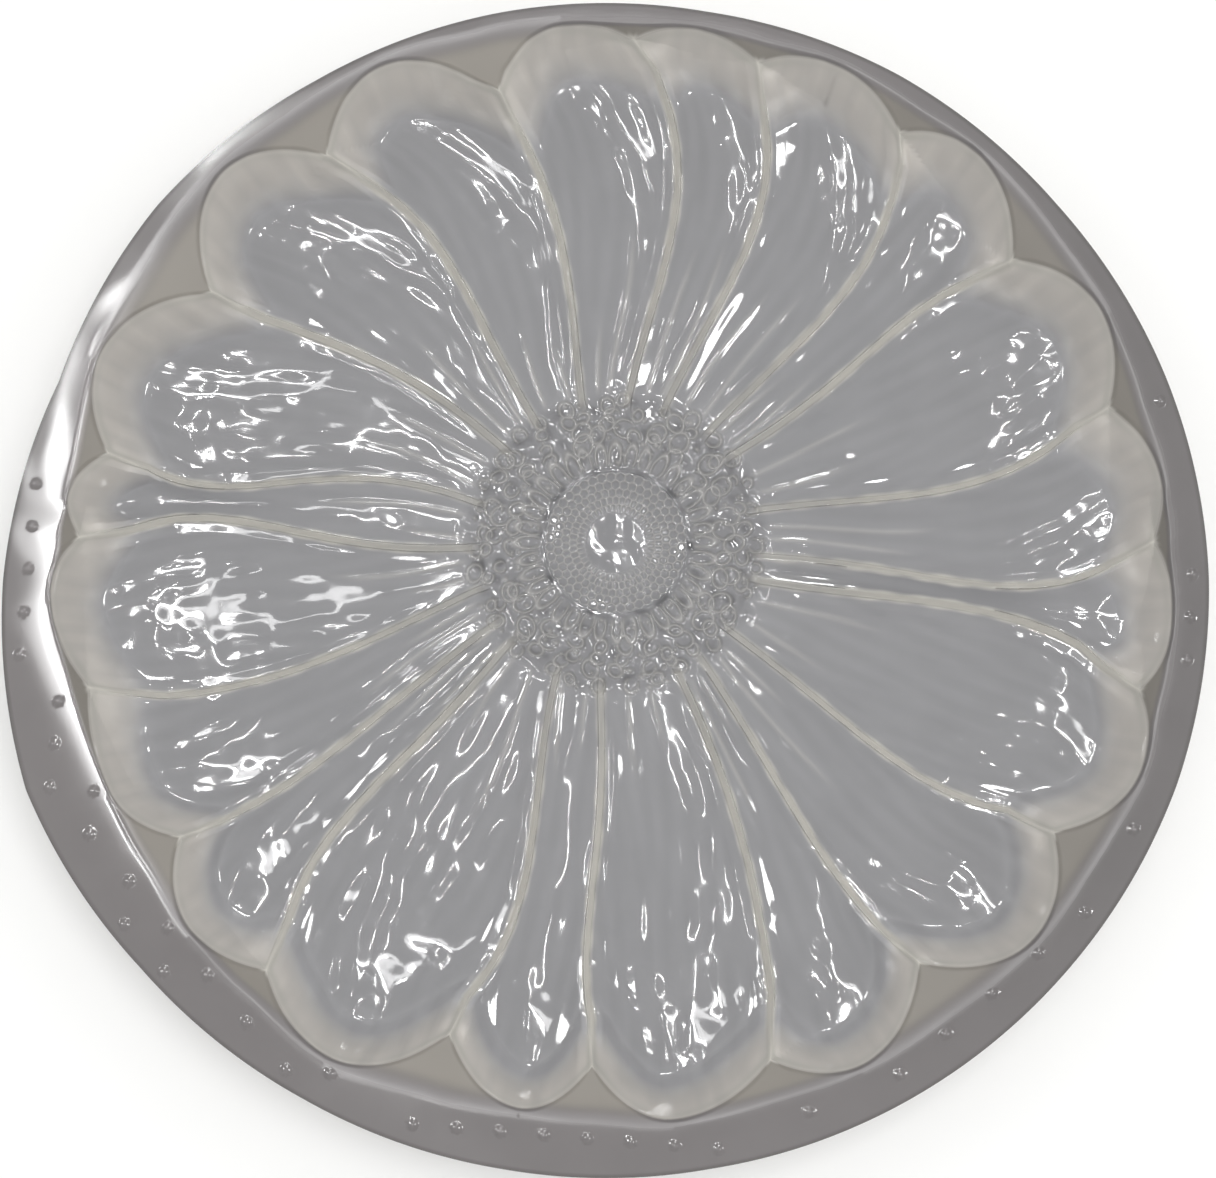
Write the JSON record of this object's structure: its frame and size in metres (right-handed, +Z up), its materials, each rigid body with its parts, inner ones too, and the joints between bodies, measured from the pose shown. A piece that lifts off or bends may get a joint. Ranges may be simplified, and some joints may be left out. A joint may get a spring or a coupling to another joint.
{
  "type": "daisy casting mould",
  "caption": "Shallow round casting mould of clear thermoformed sheet: a daisy-shaped cavity with overlapping petals, floret ring and button, inside a flat trimmed flange.",
  "frame": {"origin": "middle of the trimmed flange's outline, on the surface the mould stands on", "axes": "+Z up, out of the open cavity; +Y towards the petals with the narrow flange; +X to the right when +Y points away; the flower's centre is at x = 3 mm, y = 14 mm"},
  "size_m": [0.3561, 0.348, 0.0378],
  "materials": {
    "clear_sheet": "glossy, see-through with a grey tint"
  },
  "bodies": {
    "root": {"rim_flange": "clear_sheet", "side_wall": "clear_sheet", "petal_floor": "clear_sheet", "floret_ring": "clear_sheet", "centre_button": "clear_sheet"}
  },
  "joints": []
}
